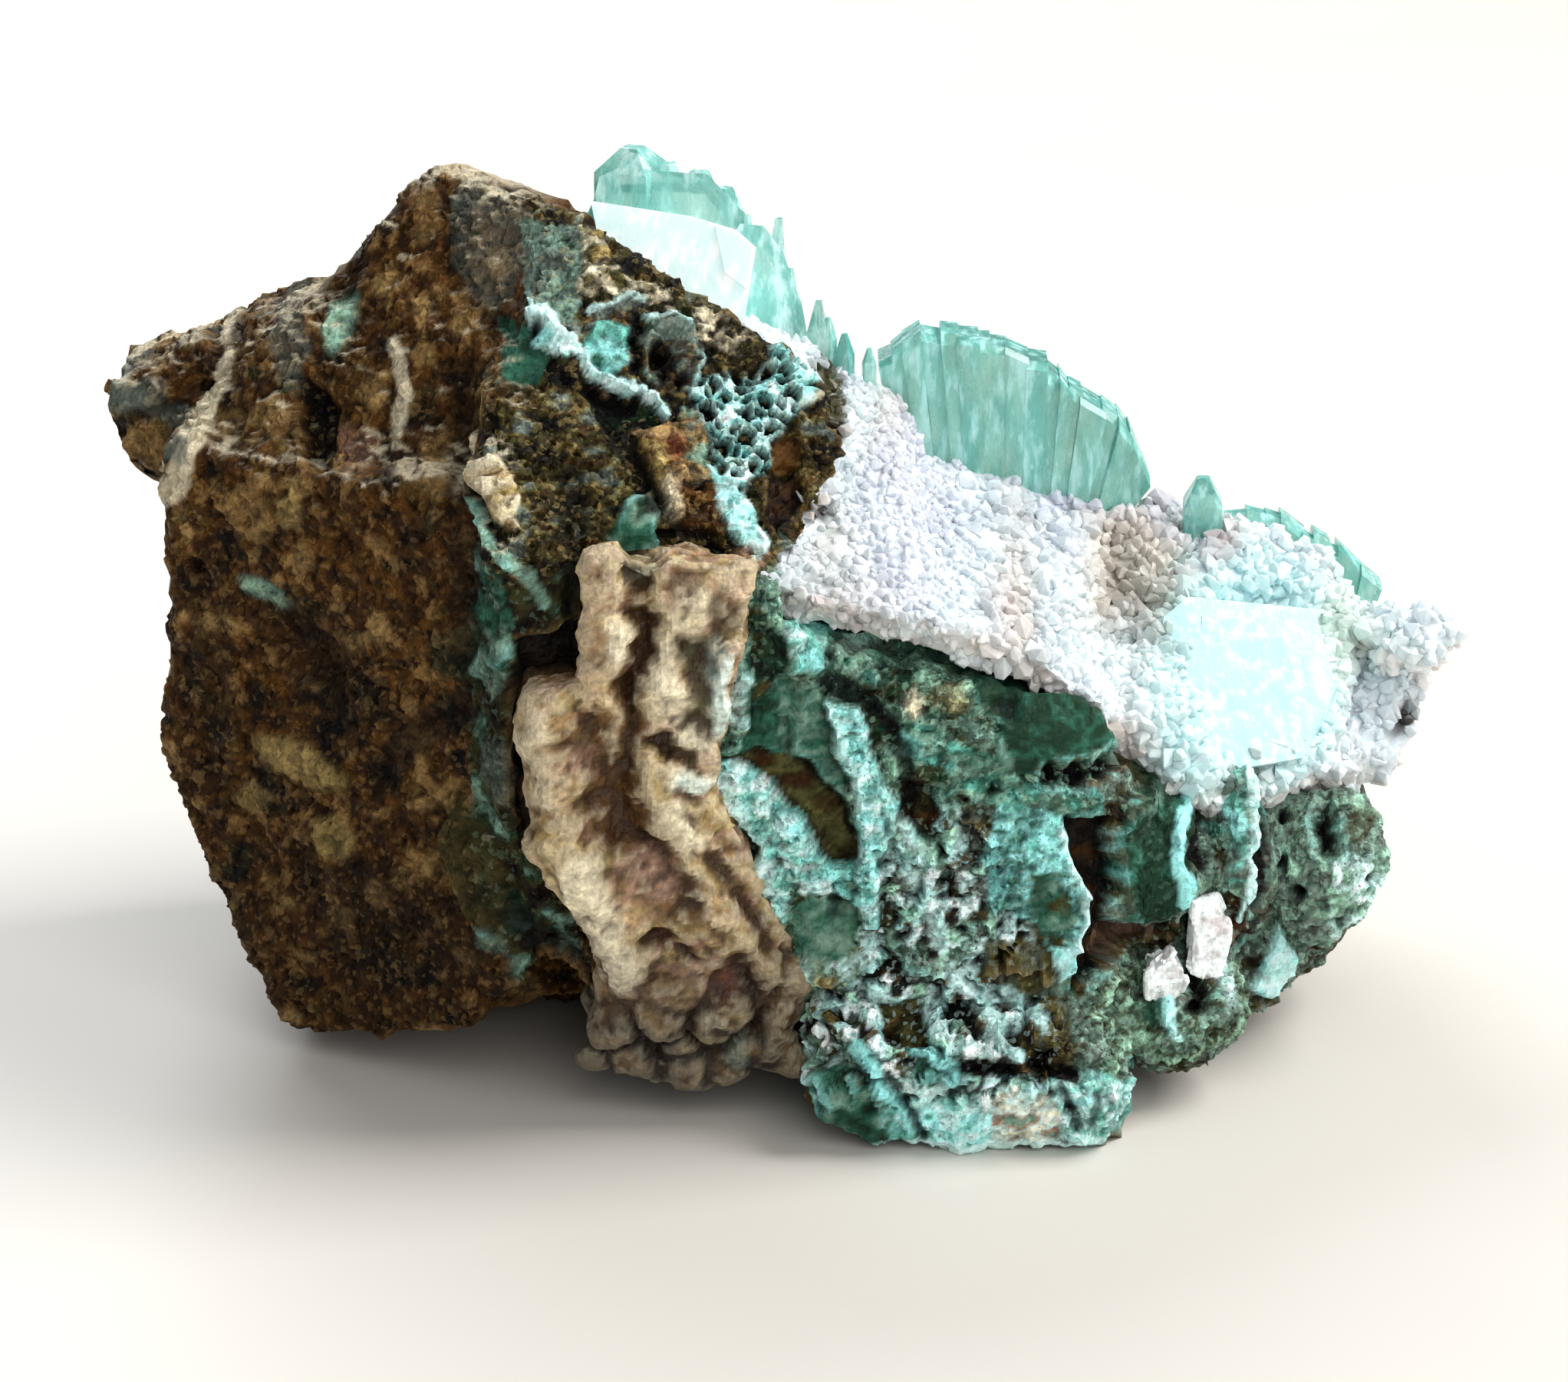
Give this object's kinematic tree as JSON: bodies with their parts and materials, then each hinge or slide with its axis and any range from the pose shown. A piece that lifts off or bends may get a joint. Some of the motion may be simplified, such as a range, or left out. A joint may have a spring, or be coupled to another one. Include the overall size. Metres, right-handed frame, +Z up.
{
  "type": "apophyllite specimen",
  "caption": "Cabinet-size mineral specimen: weathered basalt lump with a cream seam, a white drusy crust and pale green apophyllite crystals.",
  "frame": {"origin": "middle of the object's bounding box, at the level it rests on", "axes": "+Z up, -Y towards the display side, +X to the viewer's right along the long side"},
  "size_m": [0.09, 0.052, 0.057],
  "materials": {
    "basalt": "rough, weathered, with green and turquoise coatings",
    "seam": "lumpy, waxy",
    "druse": "sparkling small crystals",
    "apophyllite": "glassy, translucent",
    "milky_crystal": "glassy, milky",
    "chalcedony": "waxy, milky"
  },
  "bodies": {
    "root": {"basalt_matrix": "basalt", "cream_seam": "seam", "drusy_crust": "druse", "crown_crystals": "apophyllite", "fan_crystal": "apophyllite", "rim_crystal": "apophyllite", "shoulder_crystal": "apophyllite", "point_crystal_1": "apophyllite", "point_crystal_2": "apophyllite", "sunken_crystal": "milky_crystal", "chalcedony_chip_1": "chalcedony", "chalcedony_chip_2": "chalcedony"}
  },
  "joints": []
}
